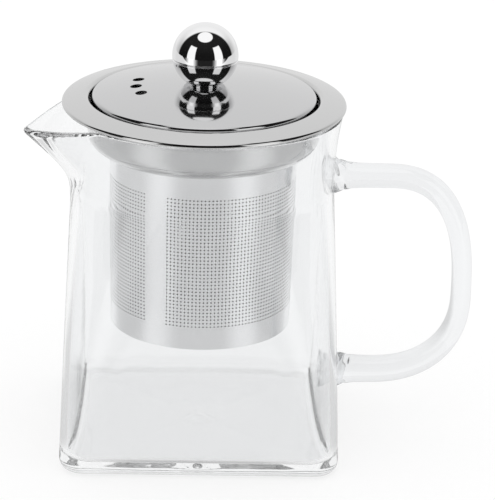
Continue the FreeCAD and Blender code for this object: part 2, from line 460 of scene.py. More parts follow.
@dataclass(frozen=True)
class Steel:
    """Stainless steel with polishing marks and faint smudges, and painted shade on the inner face when an
    inner radius is given.
    """

    name: str
    colour: Triple
    roughness: float
    grain: Grain
    grain_roughness: float = 0.03
    grain_pitch: float = 2600.0
    smudge_roughness: float = 0.03
    smudge_scale: float = 45.0
    noise_detail: float = 3.0
    upright_slowing: float = 0.02
    ring_slowing: float = 0.01
    wave_height: float = 0.0
    # Painted shade: within inner_radius of the axis the colour is multiplied by the share below, for the
    # dark inside of the closed strainer.
    inner_radius: float = 0.0
    inner_painted_shade: float = 0.25
    inner_edge: float = 0.05

    def shade(self, bench: NodeBench) -> Socket:
        """Colour that steps down to painted shade on the inner face, nearer the axis than the inner radius.

        Args:
            bench: Bench of the material.

        Returns:
            The colour's socket.
        """
        x, y, _ = bench.split(bench.here())
        edges = ((self.inner_radius - self.inner_edge) * MM, (self.inner_radius + self.inner_edge) * MM)
        mix = bench.add("ShaderNodeMix", data_type="RGBA")
        bench.join(bench.ramp(bench.math("SQRT", bench.squares(x, y)), edges), mix.inputs["Factor"])
        mix.inputs[6].default_value = (*(self.inner_painted_shade * part for part in self.colour), 1)
        mix.inputs[7].default_value = (*self.colour, 1)
        return mix.outputs[2]

    def grain_place(self, bench: NodeBench) -> Socket:
        """Coordinates in which the polishing marks are stretched along their run.

        Rings keep the distance from the axis and drop the angle; upright lines keep x and y and slow z.

        Args:
            bench: Bench of the material.

        Returns:
            The vector's socket.
        """
        place = bench.here()
        if self.grain is Grain.NONE:
            return place
        x, y, z = bench.split(place)
        if self.grain is Grain.UPRIGHT:
            parts = (x, y, bench.product(z, self.upright_slowing))
        else:
            parts = (bench.math("SQRT", bench.squares(x, y)), z, bench.product(x, self.ring_slowing))
        merge = bench.add("ShaderNodeCombineXYZ")
        for part, socket in zip(parts, merge.inputs):
            bench.join(part, socket)
        return merge.outputs[0]

    def material(self) -> bpy.types.Material:
        """Metal whose roughness follows the polishing marks and the smudges."""
        material, bench, shader = new_material(self.name)
        shader.inputs["Base Color"].default_value = (*self.colour, 1)
        if self.inner_radius:
            bench.join(self.shade(bench), shader.inputs["Base Color"])
        shader.inputs["Metallic"].default_value = 1.0
        marks = bench.noise(self.grain_place(bench), self.grain_pitch, self.noise_detail)
        smudge = bench.noise(bench.here(), self.smudge_scale, self.noise_detail)
        least = self.roughness - self.grain_roughness / 2 - self.smudge_roughness / 2
        rough = bench.product(marks, self.grain_roughness)
        rough = bench.math("ADD", rough, bench.product(smudge, self.smudge_roughness))
        bench.join(bench.math("ADD", rough, max(least, 0.0)), shader.inputs["Roughness"])
        if self.wave_height:
            bench.join(bench.bump(smudge, self.wave_height, 1.0), shader.inputs["Normal"])
        return material


# The glass pot


@dataclass
class GlassPot:
    """Blown body, square at the base and round at the neck, with its spout and its rod handle."""

    half_side: float
    height: float
    mouth_radius: float
    spout_reach: float
    handle_reach: float
    corner_radius: float = 8.0
    corner_growth: float = 1.4
    corner_fill: float = 2.5
    bottom_edge: float = 4.0
    bottom_lift: float = 0.5
    neck_height: float = 86.0
    neck_radius: float = 42.5
    wall: float = 2.4
    floor: float = 4.0
    floor_edge: float = 3.0
    mark_radius: float = 5.0
    mark_rise: float = 0.6
    tip_height: float = 102.8
    keel_angle: float = 41.0
    keel_blend: float = 3.0
    tip_overrun: float = 1.25
    root_height: float = 89.0
    root_radius: float = 10.0
    tip_radius: float = 3.8
    rim_slope: float = 0.34
    lip_swell: float = 0.9
    swell_turn: float = 0.16
    swell_depth: float = 6.0
    wave_heights: Pair = (0.04, 0.02)
    wave_counts: tuple[int, int] = (3, 7)
    wave_lengths: Pair = (17.0, -9.0)
    wave_shifts: Pair = (0.0, 1.3)
    rim_fade: float = 8.0
    floor_fade: float = 12.0
    least_corner: float = 0.4
    least_tip: float = 0.8
    widest_flank: float = 1.4
    rim_rounds: int = 40
    columns: int = 480
    spout_crowding: float = 0.6
    rim_crowding: float = 0.45
    wall_steps: int = 80
    edge_steps: int = 12
    lip_steps: int = 15
    floor_steps: int = 13
    upper_height: float = 88.2
    lower_height: float = 20.5
    upper_bend: Pair = (60.0, 50.0)
    lower_bend: Pair = (56.0, 48.0)
    bend_powers: Pair = (2.55, 2.3)
    rod_width: float = 9.2
    rod_thickness: Triple = (7.9, 6.6, 8.9)
    rod_stations: tuple[float, ...] = (0.0, 0.2, 0.4, 0.6, 0.8, 1.0)
    rod_smoothing: int = 20
    rod_steps: int = 230
    rod_columns: int = 72
    rod_end_dome: float = 0.5
    rod_end_steps: int = 6
    bend_steps: int = 200
    rod_tint: Triple = (0.905, 0.913, 0.922)
    weld_flare: float = 1.6
    weld_length: float = 3.5
    weld_power: float = 1.2
    weld_depth: float = 1.2
    weld_ring: float = 0.12
    weld_ring_pitch: float = 2.3
    weld_ring_fade: float = 3.0
    weld_lumps: Pair = (0.22, 0.16)
    weld_lump_counts: tuple[int, int] = (2, 5)
    weld_lump_shift: float = 0.7
    weld_lump_twist: float = 1.9

    def side(self, z: np.ndarray) -> np.ndarray:
        """Distance from the axis to the middle of a side.

        It falls evenly from the base to the neck, then opens on an arc that leaves the neck upright.

        Args:
            z: Heights.

        Returns:
            Distances.
        """
        rise = self.height - self.neck_height
        spread = self.mouth_radius - self.neck_radius
        sweep = (rise**2 + spread**2) / (2 * spread)
        up = np.clip(z - self.neck_height, 0, sweep)
        flare = self.neck_radius + sweep - np.sqrt(sweep**2 - up**2)
        taper = self.half_side + (self.neck_radius - self.half_side) * z / self.neck_height
        return np.where(z > self.neck_height, flare, taper)

    @staticmethod
    def spout_turn(angle: np.ndarray) -> np.ndarray:
        """Unsigned angle from the middle of the spout, which points to -X."""
        return np.abs((angle + 2 * np.pi) % (2 * np.pi) - np.pi)

    def section(self, angle: np.ndarray, z: np.ndarray, inset: np.ndarray, fill: float = 0.0) -> np.ndarray:
        """Radius of the glass at an angle and a height, drawn in by an inset.

        A rounded square in polar form: the side over the cosine of the angle on the flats, and on the
        corners the far root of the corner circle. Its corner radius grows to the full side at the neck.
        The spout is the outline round the neck circle and a small tip circle: the tip circle in front,
        then the straight line that touches both circles.

        Args:
            angle: Angles from +X.
            z: Heights.
            inset: Distances inside the outer surface.
            fill: Extra corner radius at the base, for the inner surface.

        Returns:
            Radii.
        """
        side = self.side(z) - inset
        share = np.clip(z / self.neck_height, 0, 1)
        corner = self.corner_radius + (self.neck_radius - self.corner_radius) * share**self.corner_growth
        corner = np.clip(corner - inset + fill * (1 - share), self.least_corner, side)
        corner = np.where(share >= 1, side, corner)
        fold = np.abs((angle + np.pi / 4) % (np.pi / 2) - np.pi / 4)
        flat = side - corner
        reach = flat**2 * (np.sin(2 * fold) - 1) + corner**2
        bend = flat * (np.cos(fold) + np.sin(fold)) + np.sqrt(np.maximum(reach, 0))
        radius = np.where(side * np.tan(fold) <= flat, side / np.cos(fold), bend)

        lean = math.radians(self.keel_angle)
        turn = self.spout_turn(angle)
        keel = self.spout_reach + self.tip_overrun - (self.tip_height - z) / math.tan(lean)
        keel = keel - inset / math.sin(lean)
        keel = side + self.keel_blend * np.logaddexp(0, (keel - side) / self.keel_blend)
        rise = np.clip((z - self.root_height) / (self.tip_height - self.root_height), 0, 1)
        tip = self.root_radius + (self.tip_radius - self.root_radius) * rise - inset
        tip = np.maximum(tip, self.least_tip)
        centre = keel - tip
        touch = np.arccos(np.clip((side - tip) / centre, -1, 1))
        edge = np.arctan2(tip * np.sin(touch), centre + tip * np.cos(touch))
        front = centre * np.cos(turn) + np.sqrt(np.maximum(tip**2 - (centre * np.sin(turn)) ** 2, 0))
        flank = side / np.cos(np.clip(touch - turn, 0, self.widest_flank))
        spout = np.where(turn < edge, front, np.where(turn < touch, flank, 0))
        return np.maximum(radius, spout)

    def rim(self, angle: np.ndarray) -> np.ndarray:
        """Height of the rim: level, and sloping down along the spout by the distance from its tip.

        Height and radius depend on each other, so the height is found by repeated halving steps.

        Args:
            angle: Angles from +X.

        Returns:
            Heights.
        """
        z = np.full_like(angle, self.height)
        for _ in range(self.rim_rounds):
            x = self.section(angle, z, np.zeros_like(z)) * np.cos(angle)
            z = (z + np.minimum(self.height, self.tip_height + self.rim_slope * (x + self.spout_reach))) / 2
        return z

    def thickness(self, angle: np.ndarray, z: np.ndarray, rim: np.ndarray) -> np.ndarray:
        """Wall thickness, with a swelling towards the spout's tip and slow waves from blowing.

        Args:
            angle: Angles from +X.
            z: Heights.
            rim: Rim heights at the angles.

        Returns:
            Thicknesses.
        """
        near_spout = (self.spout_turn(angle) / self.swell_turn) ** 2
        near_rim = ((rim - z) / self.swell_depth) ** 2
        swell = self.lip_swell * np.exp(-near_spout - near_rim)
        waves = zip(self.wave_heights, self.wave_counts, self.wave_lengths, self.wave_shifts)
        wave = sum(high * np.sin(count * angle + z / long + shift) for high, count, long, shift in waves)
        fade = np.clip((rim - z) / self.rim_fade, 0, 1) * np.clip((z - self.floor) / self.floor_fade, 0, 1)
        return self.wall + swell + wave * fade

    def body(self) -> bpy.types.Object:
        """One closed surface on a grid of angle and profile.

        The profile runs over the underside, the bottom edge, the outer wall, the round rim, the inner
        wall, the floor's edge and the floor with its small raised mark. Angles crowd at the spout.

        Returns:
            The glass body.
        """
        spread = np.linspace(-1, 1, self.columns, endpoint=False)
        spread = (1 - self.spout_crowding) * spread + self.spout_crowding * spread**3
        angle = (np.pi + np.pi * spread)[None, :]
        rim = self.rim(angle)
        lip = self.thickness(angle, rim, rim) / 2
        top = rim - lip
        quarter = np.radians(np.linspace(90, 0, self.edge_steps))[:, None]
        climb = np.linspace(0, 1, self.wall_steps)[:, None]
        climb = (1 - self.rim_crowding) * climb + self.rim_crowding * np.sin(climb * np.pi / 2)
        half_turn = np.linspace(0, np.pi, self.lip_steps)[:, None]
        zero = np.zeros_like(angle)

        edge_inset = self.bottom_edge * (1 - np.cos(quarter)) + zero
        edge_z = self.bottom_edge * (1 - np.sin(quarter)) + zero
        edge = self.section(angle, edge_z, edge_inset)
        disc = np.linspace(0, 1, self.floor_steps, endpoint=False)[:, None]
        disc_z = self.bottom_lift * (1 - disc**2) ** 2 + zero

        wall_z = self.bottom_edge + (top - self.bottom_edge) * climb
        wall = self.section(angle, wall_z, zero)
        lip_inset = lip * (1 - np.cos(half_turn))
        lip_z = top + lip * np.sin(half_turn)
        lip_r = self.section(angle, lip_z, lip_inset)

        foot = self.floor + self.floor_edge
        inner_z = foot + (top - foot) * climb[::-1]
        thick = self.thickness(angle, inner_z, rim)
        inner = self.section(angle, inner_z, thick, self.corner_fill)
        cove_inset = self.wall + self.floor_edge * (1 - np.cos(quarter[::-1])) + zero
        cove_z = self.floor + self.floor_edge * (1 - np.sin(quarter[::-1])) + zero
        cove = self.section(angle, cove_z, cove_inset, self.corner_fill)
        floor = cove[-1:] * disc[::-1]
        mark = np.clip(1 - (floor / self.mark_radius) ** 2, 0, 1)
        floor_z = self.floor + self.mark_rise * mark

        radius = np.concatenate([edge[:1] * disc, edge, wall[1:], lip_r[1:], inner[1:], cove[1:], floor])
        z = np.concatenate([disc_z, edge_z, wall_z[1:], lip_z[1:], inner_z[1:], cove_z[1:], floor_z])
        points = np.stack([radius * np.cos(angle), radius * np.sin(angle), z], axis=-1).reshape(-1, 3)
        return mesh_piece("glass_pot_body", points, grid_quads(len(radius), self.columns))

    def handle_line(self, count: int) -> tuple[np.ndarray, np.ndarray, np.ndarray]:
        """Middle line of the handle: two level arms joined by two quarter superellipses, evenly resampled.

        Args:
            count: Number of points.

        Returns:
            Points as (x, z), distances along the line, and distances from the nearer face of the glass.
        """
        reach = self.handle_reach - self.rod_thickness[1] / 2
        quarter = np.radians(np.linspace(90, 0, self.bend_steps))
        faces = self.side(np.array([self.upper_height, self.lower_height]))
        bends = []
        for bend, arm, power in zip(
            (self.upper_bend, self.lower_bend), (self.upper_height, self.lower_height), self.bend_powers
        ):
            out = np.abs(np.cos(quarter)) ** (2 / power)
            up = np.abs(np.sin(quarter)) ** (2 / power)
            bends.append(np.array([bend[0] + (reach - bend[0]) * out, bend[1] + (arm - bend[1]) * up]))
        bends[1] = bends[1][:, ::-1]
        start = [[faces[0] - self.weld_depth], [self.upper_height]]
        end = [[faces[1] - self.weld_depth], [self.lower_height]]
        line = np.concatenate([np.array(part) for part in (start, *bends, end)], axis=1).T
        run = np.concatenate([[0], np.cumsum(np.linalg.norm(np.diff(line, axis=0), axis=1))])
        even = np.linspace(0, run[-1], count)
        points = np.stack([np.interp(even, run, line[:, axis]) for axis in (0, 1)], axis=-1)
        return points, even, np.minimum(even, even[-1] - even) - self.weld_depth

    def handle(self) -> bpy.types.Object:
        """Oval rod carried along the handle's line.

        Each section is an ellipse across the line: thickness in the plane of the handle, width across
        it. Near the welds it flares in uneven lumps, and both ends close in a shallow dome inside the wall.

        Returns:
            The handle.
        """
        line, run, away = self.handle_line(self.rod_steps)
        heading = np.gradient(line, axis=0)
        heading /= np.linalg.norm(heading, axis=1, keepdims=True)
        across = np.stack([-heading[:, 1], heading[:, 0]], axis=-1)
        bulge = np.interp(run / run[-1], self.rod_stations, np.repeat(self.rod_thickness, 2))
        window = 2 * self.rod_smoothing + 1
        bulge = np.pad(bulge, self.rod_smoothing, mode="edge")
        bulge = np.convolve(bulge, np.full(window, 1 / window), mode="valid")
        away = np.maximum(away, 0)
        flare = self.weld_flare * np.exp(-((away / self.weld_length) ** self.weld_power))
        ring = np.cos(2 * np.pi * away / self.weld_ring_pitch) * np.exp(-away / self.weld_ring_fade)
        flare = flare + self.weld_ring * ring
        close = np.sin(np.linspace(0, np.pi / 2, self.rod_end_steps, endpoint=False))
        scale = np.concatenate([close, np.ones(len(line)), close[::-1]])[:, None]
        pick = np.clip(np.arange(len(scale)) - len(close), 0, len(line) - 1)
        angle = np.linspace(0, 2 * np.pi, self.rod_columns, endpoint=False)[None, :]
        few, many = self.weld_lump_counts
        twist = self.weld_lump_twist * away[pick][:, None]
        lumps = self.weld_lumps[0] * np.sin(few * angle + self.weld_lump_shift)
        lumps = lumps + self.weld_lumps[1] * np.sin(many * angle + twist)
        swell = flare[pick][:, None] * (1 + lumps)
        thick = scale * (bulge[pick][:, None] / 2 + swell) * np.cos(angle)
        x = line[pick, 0][:, None] + across[pick, 0][:, None] * thick
        z = line[pick, 1][:, None] + across[pick, 1][:, None] * thick
        y = scale * (self.rod_width / 2 + swell) * np.sin(angle)
        dome = self.rod_end_dome * (1 - close)
        dome = np.concatenate([-dome, np.zeros(len(line)), dome[::-1]])
        x = x + dome[:, None] * heading[pick, 0][:, None]
        points = np.stack([x, y, z], axis=-1).reshape(-1, 3)
        return mesh_piece("glass_handle", points, grid_quads(len(scale), angle.size))

    def build(self) -> None:
        """Make the body and the handle and dress both as glass, the solid rod a little deeper in colour."""
        glass = ClearGlass("clear_glass").material()
        rod = ClearGlass("rod_glass", tint=self.rod_tint).material()
        dress(self.body(), Body.POT, Slot.GLASS, glass, "glass_body")
        dress(self.handle(), Body.POT, Slot.GLASS, rod, "handle")


# The infuser


@dataclass
class Infuser:
    """Drawn collar with its pan, perforated strainer wall and perforated base cup."""

    flange_radius: float
    hem_foot: float
    pan_bottom: float
    strainer_radius: float
    strainer_foot: float
    strainer_top: float
    sheet: float = 0.7
    flange_slope: float = 12.0
    hem_depth: float = 1.5
    hem_radius: float = 0.9
    hem_lower_radius: float = 0.55
    hem_inner_radius: float = 0.15
    bend_radius: float = 1.4
    under_bend_radius: float = 0.6
    edge_break: float = 0.1
    pan_radius: float = 37.6
    pan_corner: float = 7.4
    strainer_sheet: float = 0.5
    strainer_play: float = 0.05
    holes_low: float = 46.1
    holes_high: float = 90.0
    hole_rows: int = 37
    hole_columns: int = 157
    hole_share: float = 0.21
    strip_columns: int = 6
    back_columns: tuple[int, int] = (61, 122)
    strip_middle: float = -119.85
    cup_height: float = 3.0
    cup_corner: float = 1.2
    base_pitch: float = 1.2
    base_margin: float = 0.02
    band_rows: int = 4
    collar_columns: int = 256
    cup_columns: int = 192
    cup_steps: int = 9

    def collar(self) -> bpy.types.Object:
        """Turned outline of the sheet: hemmed edge, sloping flange, pan wall, rounded corner, ring floor.

        The flange's upper face is the straight line that touches the hem's round edge at its slope.

        Returns:
            The collar.
        """
        slope = math.radians(self.flange_slope)
        sin, cos = math.sin(slope), math.cos(slope)
        hem_r = self.flange_radius - self.hem_radius
        hem_z = self.hem_foot + self.hem_depth - self.hem_radius
        level = sin * hem_r + cos * hem_z + self.hem_radius
        pan_inner = self.pan_radius - self.sheet
        hem_inner = self.flange_radius - self.sheet
        hole = self.strainer_radius + self.strainer_play
        pan_floor = self.pan_bottom + self.sheet

        def top(radius: float, drop: float = 0.0) -> float:
            """Height of the flange at a radius, less a drop square to it."""
            return (level - drop - sin * radius) / cos

        corners = [
            (self.flange_radius, self.hem_foot, self.hem_lower_radius),
            (self.flange_radius, top(self.flange_radius), self.hem_radius),
            (pan_inner, top(pan_inner), self.bend_radius),
            (pan_inner, pan_floor, self.pan_corner - self.sheet),
            (hole, pan_floor, self.edge_break),
            (hole, self.pan_bottom, self.edge_break),
            (self.pan_radius, self.pan_bottom, self.pan_corner),
            (self.pan_radius, top(self.pan_radius, self.sheet), self.under_bend_radius),
            (hem_inner, top(hem_inner, self.sheet), self.hem_inner_radius),
            (hem_inner, self.hem_foot, self.edge_break),
        ]
        return lathe_piece("infuser_collar_sheet", rounded_outline(corners), self.collar_columns)

    def cells(self, low: np.ndarray, high: np.ndarray, holed: np.ndarray) -> tuple[np.ndarray, np.ndarray]:
        """Flat sheet of cells, each plain or with one round hole.

        A holed cell joins eight points on its border to eight points on the hole, in eight quads. A plain
        cell joins the same border points to its middle, in four quads.

        Args:
            low: Low corners of the cells, two to a row.
            high: High corners.
            holed: True for the cells with a hole.

        Returns:
            Points, two to a row, and quads.
        """
        step = np.arange(8)
        ring = circle(step * np.pi / 4)
        border = 0.5 + 0.5 * np.sign(np.round(ring, 6))
        hole = 0.5 + self.hole_share * ring
        ahead = (step + 1) % 8
        holed_quads = np.stack([step, ahead, 8 + ahead, 8 + step], axis=-1)
        odd = np.arange(1, 8, 2)
        plain_quads = np.stack([odd - 1, odd, (odd + 1) % 8, np.full(4, 8)], axis=-1)
        parts = []
        for pattern, quads, chosen in (
            (np.concatenate([border, hole]), holed_quads, holed),
            (np.concatenate([border, [[0.5, 0.5]]]), plain_quads, ~holed),
        ):
            start = low[chosen][:, None, :]
            size = (high - low)[chosen][:, None, :]
            points = (start + size * pattern[None]).reshape(-1, 2)
            shift = np.arange(chosen.sum())[:, None, None] * len(pattern)
            parts.append((points, (quads[None] + shift).reshape(-1, 4)))
        points = np.concatenate([parts[0][0], parts[1][0]])
        quads = np.concatenate([parts[0][1], parts[1][1] + len(parts[0][0])])
        return points, quads

    def wall(self, name: str, first: int, last: int) -> bpy.types.Object:
        """Part of the rolled strainer wall: flat cells rolled so that x is the angle and y the height.

        Args:
            name: Name of the piece.
            first: First column of cells, counted from the middle of the plain strip.
            last: Column after the last.

        Returns:
            The piece.
        """
        levels = np.concatenate(
            [
                np.linspace(self.strainer_foot, self.holes_low, self.band_rows, endpoint=False),
                np.linspace(self.holes_low, self.holes_high, self.hole_rows, endpoint=False),
                np.linspace(self.holes_high, self.strainer_top, self.band_rows + 1),
            ]
        )
        column, row = np.meshgrid(np.arange(first, last), np.arange(len(levels) - 1), indexing="ij")
        column, row = column.ravel(), row.ravel()
        low = np.stack([column, levels[row]], axis=-1).astype(float)
        high = np.stack([column + 1, levels[row + 1]], axis=-1).astype(float)
        half_strip = self.strip_columns // 2
        turn = column % self.hole_columns
        inside = (turn >= half_strip) & (turn < self.hole_columns - half_strip)
        middle = (levels[row] + levels[row + 1]) / 2
        holed = inside & (middle > self.holes_low) & (middle < self.holes_high)
        flat, quads = self.cells(low, high, holed)
        angle = np.radians(self.strip_middle) + flat[:, 0] * 2 * np.pi / self.hole_columns
        out = np.column_stack([circle(angle), np.zeros_like(angle)])
        points = self.strainer_radius * out
        points[:, 2] = flat[:, 1]
        return sheet_piece(name, points, -self.strainer_sheet * out, quads)

    def base(self) -> bpy.types.Object:
        """Base cup: a square lattice of cells drawn in to a circle, and a turned edge that rises from it.

        Cells that lie wholly outside the circle are dropped, and outer points are moved onto it.

        Returns:
            The cup.
        """
        outer = self.strainer_radius - self.strainer_sheet - self.strainer_play
        flat_radius = outer - self.cup_corner
        reach = math.ceil(flat_radius / self.base_pitch)
        place = (np.arange(-reach, reach) * self.base_pitch).astype(float)
        x, y = (grid.ravel() for grid in np.meshgrid(place, place, indexing="ij"))
        low = np.stack([x, y], axis=-1)
        high = low + self.base_pitch
        near = np.linalg.norm(np.minimum(np.abs(low), np.abs(high)), axis=1)
        far = np.linalg.norm(np.maximum(np.abs(low), np.abs(high)), axis=1)
        kept = near < flat_radius - self.base_margin
        low, high, far = low[kept], high[kept], far[kept]
        flat, quads = self.cells(low, high, far < flat_radius - 2 * self.base_pitch)
        span = np.linalg.norm(flat, axis=1)
        flat = flat * np.minimum(1, flat_radius / np.maximum(span, TINY))[:, None]
        disc = np.column_stack([flat, np.full(len(flat), self.strainer_foot)])
        out = arc_points((0, 0), 1.0, -90, 0, self.cup_steps)
        rise = [flat_radius, self.strainer_foot + self.cup_corner] + self.cup_corner * out
        lip = [[outer, self.strainer_foot + self.cup_height]]
        edge = lathe_points(np.concatenate([rise, lip]), self.cup_columns)
        edge_quads = grid_quads(self.cup_steps + 1, self.cup_columns)
        points = np.concatenate([disc, edge])
        inward = -self.strainer_sheet * np.concatenate([out, out[-1:]])
        inward = lathe_points(inward, self.cup_columns)
        inward = np.concatenate([np.tile([0, 0, self.strainer_sheet], (len(disc), 1)), inward])
        quads = np.concatenate([quads[:, ::-1], edge_quads + len(disc)])
        return sheet_piece("strainer_base_cup", points, inward, quads)

    def build(self) -> None:
        """Make the collar, the wall in two parts and the base, and dress them in steel."""
        polished = Steel("polished_steel", (0.66, 0.66, 0.66), 0.07, Grain.RINGS).material()
        satin = Steel("strainer_steel", (0.91, 0.91, 0.915), 0.22, Grain.UPRIGHT, grain_roughness=0.04)
        inside = self.strainer_radius - self.strainer_sheet / 2
        # The rolled wall gets painted shade on its inner face, darker than its outside.
        rolled = replace(satin, name="strainer_wall_steel", inner_radius=inside).material()
        dress(self.collar(), Body.INFUSER, Slot.COLLAR, polished, "infuser_collar")
        for name, first, last in (
            ("strainer_wall_back", *self.back_columns),
            ("strainer_wall_front", self.back_columns[1], self.back_columns[0] + self.hole_columns),
        ):
            dress(self.wall(name, first, last), Body.INFUSER, Slot.STRAINER, rolled, "strainer_wall")
        dress(self.base(), Body.INFUSER, Slot.STRAINER, satin.material(), "strainer_base")


# The lid and its knob


@dataclass
class Lid:
    """Drawn lid: a flat dome with three vents, a rounded edge and a deep skirt."""

    radius: float
    top: float
    foot: float
    rise: float = 3.8
    edge_radius: float = 1.2
    sheet: float = 0.6
    screw_hole: float = 2.05
    vent_radius: float = 1.9
    vent_arc_radius: float = 22.0
    vent_arc_offset: float = 1.1
    vent_middle: float = 184.0
    vent_step: float = 19.0
    vent_zone: Pair = (13.0, 29.0)
    dome_steps: tuple[int, int, int] = (11, 40, 8)
    edge_steps: int = 10
    skirt_steps: int = 6
    columns: int = 360

    def profile(self) -> np.ndarray:
        """Outer profile: sphere cap, edge arc that touches the cap and the skirt, straight skirt.

        Returns:
            Rows of (radius, height) from the screw hole outwards.
        """
        cap = (self.radius**2 + self.rise**2) / (2 * self.rise)
        centre = self.top - cap
        edge_r = self.radius - self.edge_radius
        edge_z = centre + math.sqrt((cap - self.edge_radius) ** 2 - edge_r**2)
        lean = math.degrees(math.atan2(edge_z - centre, edge_r))
        touch = cap * math.cos(math.radians(lean))
        stops = (self.screw_hole, *self.vent_zone, touch)
        spans = zip(stops, stops[1:], self.dome_steps)
        dome = np.concatenate([np.linspace(low, high, steps, endpoint=False) for low, high, steps in spans])
        dome = np.stack([dome, centre + np.sqrt(cap**2 - dome**2)], axis=-1)
        edge = arc_points((edge_r, edge_z), self.edge_radius, lean, 0, self.edge_steps)
        skirt = np.linspace([self.radius, edge_z], [self.radius, self.foot], self.skirt_steps + 1)[1:]
        return np.concatenate([dome, edge, skirt])

    def dome(self) -> bpy.types.Object:
        """Turned sheet with its vents.

        Faces inside a vent circle are left out, and the border that remains is moved onto the circle.

        Returns:
            The lid without its knob.
        """
        profile = self.profile()
        points = lathe_points(profile, self.columns)
        quads = grid_quads(len(profile), self.columns)[:, ::-1]
        steps = np.radians(self.vent_middle + self.vent_step * np.array([-1, 0, 1]))
        vents = self.vent_arc_radius * circle(steps) + [0, self.vent_arc_offset]
        middle = points[quads].mean(axis=1)
        offset = middle[:, None, :2] - vents[None]
        cut = (np.linalg.norm(offset, axis=2) < self.vent_radius).any(axis=1)
        used = np.zeros((2, len(points)), bool)
        used[0, quads[cut].ravel()] = True
        used[1, quads[~cut].ravel()] = True
        border = used.all(axis=0)
        from_vent = points[border][:, None, :2] - vents[None]
        gap = np.linalg.norm(from_vent, axis=2)
        nearest = gap.argmin(axis=1)
        pick = np.arange(len(nearest))
        stretch = self.vent_radius / gap[pick, nearest]
        points[border, :2] = vents[nearest] + from_vent[pick, nearest] * stretch[:, None]
        slope = np.gradient(profile, axis=0)
        slope /= np.linalg.norm(slope, axis=1, keepdims=True)
        inward = lathe_points(self.sheet * np.stack([slope[:, 1], -slope[:, 0]], axis=-1), self.columns)
        return sheet_piece("lid_dome_sheet", points, inward, quads[~cut])

    def build(self) -> None:
        """Make the dome and dress it in polished steel."""
        steel = Steel("lid_steel", (0.64, 0.64, 0.645), 0.07, Grain.RINGS, wave_height=0.00002).material()
        dress(self.dome(), Body.LID, Slot.LID, steel, "lid_dome")


@dataclass
class BallKnob:
    """Ball of two pressed halves on a short neck, held by a screw from under the lid."""

    ball_radius: float
    ball_centre: float
    seam_drop: float
    neck_radius: float
    neck_foot: float
    neck_top: float
    sheet: float = 0.7
    screw_hole: float = 2.05
    upper_lip: float = 0.42
    lower_lip: float = 0.26
    foot_rounding: float = 0.9
    neck_rounding: float = 0.15
    arc_steps: int = 48
    edge_steps: int = 9
    columns: int = 128
    neck_columns: int = 96

    def skin(self, radius: float, level: float, opening: float, start: float) -> np.ndarray:
        """Arc of a skin from its pole to an angle near the seam, cut flat at a level with a rounded edge.

        The edge's circle touches the flat and the arc from inside, so its centre lies its own radius below
        the flat and the skin's radius less its own from the ball's centre.

        Args:
            radius: Radius of the skin.
            level: Height of the flat over the ball's centre; no flat from the radius upwards.
            opening: Radius of the hole at the pole.
            start: Last angle of the arc, in degrees.

        Returns:
            Rows of (radius, height).
        """
        if level >= radius:
            pole = math.degrees(math.acos(opening / radius))
            return arc_points((0, 0), radius, pole, start, self.arc_steps)
        up = level - self.foot_rounding
        out = math.sqrt((radius - self.foot_rounding) ** 2 - up**2)
        touch = math.degrees(math.atan2(up, out))
        edge = arc_points((out, up), self.foot_rounding, 90, touch, self.edge_steps)
        arc = arc_points((0, 0), radius, touch, start, self.arc_steps - self.edge_steps + 1)
        return np.concatenate([[[opening, level]], edge, arc[1:]])

    def half(self, name: str, sign: int, lip: float, opening: float) -> bpy.types.Object:
        """Half shell: an outer and an inner skin, with a rounded lip at the seam.

        The lip's circle touches the outer skin from inside and stands on the seam's level, so its centre is
        at the ball's radius less the lip's from the ball's centre, and a lip's radius off the seam.

        Args:
            name: Name of the piece.
            sign: 1 for the upper half, -1 for the lower.
            lip: Radius of the rounded lip.
            opening: Radius of the hole at the pole.

        Returns:
            The half.
        """
        inner = self.ball_radius - self.sheet
        seam = -sign * self.seam_drop
        level = self.ball_radius if sign > 0 else self.ball_centre - self.neck_top
        start = math.degrees(math.asin((seam + lip) / (self.ball_radius - lip)))
        outside = self.skin(self.ball_radius, level, opening, start)
        lip_r = (self.ball_radius - lip) * math.cos(math.radians(start))
        turn = arc_points((lip_r, seam + lip), lip, start, -90, self.edge_steps)
        inside = self.skin(inner, level - self.sheet, opening, math.degrees(math.asin(seam / inner)))
        profile = np.concatenate([outside, turn[1:], inside[::-1], outside[:1]])
        profile = np.stack([profile[:, 0], self.ball_centre + sign * profile[:, 1]], axis=-1)
        return lathe_piece(name, profile, self.columns)

    def neck(self) -> bpy.types.Object:
        """Turned spacer between the ball's flat foot and the dome, a ring with rounded corners.

        Returns:
            The neck.
        """
        spots = [
            (self.neck_radius, self.neck_top),
            (self.screw_hole, self.neck_top),
            (self.screw_hole, self.neck_foot),
            (self.neck_radius, self.neck_foot),
        ]
        corners = [(*spot, self.neck_rounding) for spot in spots]
        return lathe_piece("knob_neck_spacer", rounded_outline(corners), self.neck_columns)

    def build(self, nodes: dict[str, bpy.types.Object]) -> None:
        """Make the ball and the neck, and give the hidden fasteners their finish.

        Args:
            nodes: Solids of the frame by name.
        """
        chrome = Steel(
            "knob_steel", (0.94, 0.94, 0.945), 0.03, Grain.NONE, grain_roughness=0.01, smudge_roughness=0.02
        ).material()
        plain = Steel("screw_steel", (0.5, 0.49, 0.48), 0.3, Grain.RINGS, grain_roughness=0.12).material()
        upper = self.half("knob_upper_shell", 1, self.upper_lip, 0.0)
        lower = self.half("knob_lower_shell", -1, self.lower_lip, self.screw_hole)
        dress(upper, Body.LID, Slot.KNOB, chrome, "knob_upper_half")
        dress(lower, Body.LID, Slot.KNOB, chrome, "knob_lower_half")
        dress(self.neck(), Body.LID, Slot.KNOB, chrome, "knob_neck")
        for name in ("knob_nut", "knob_screw", "screw_washer"):
            nodes[name].data.materials.clear()
            nodes[name].data.materials.append(plain)


# The studio


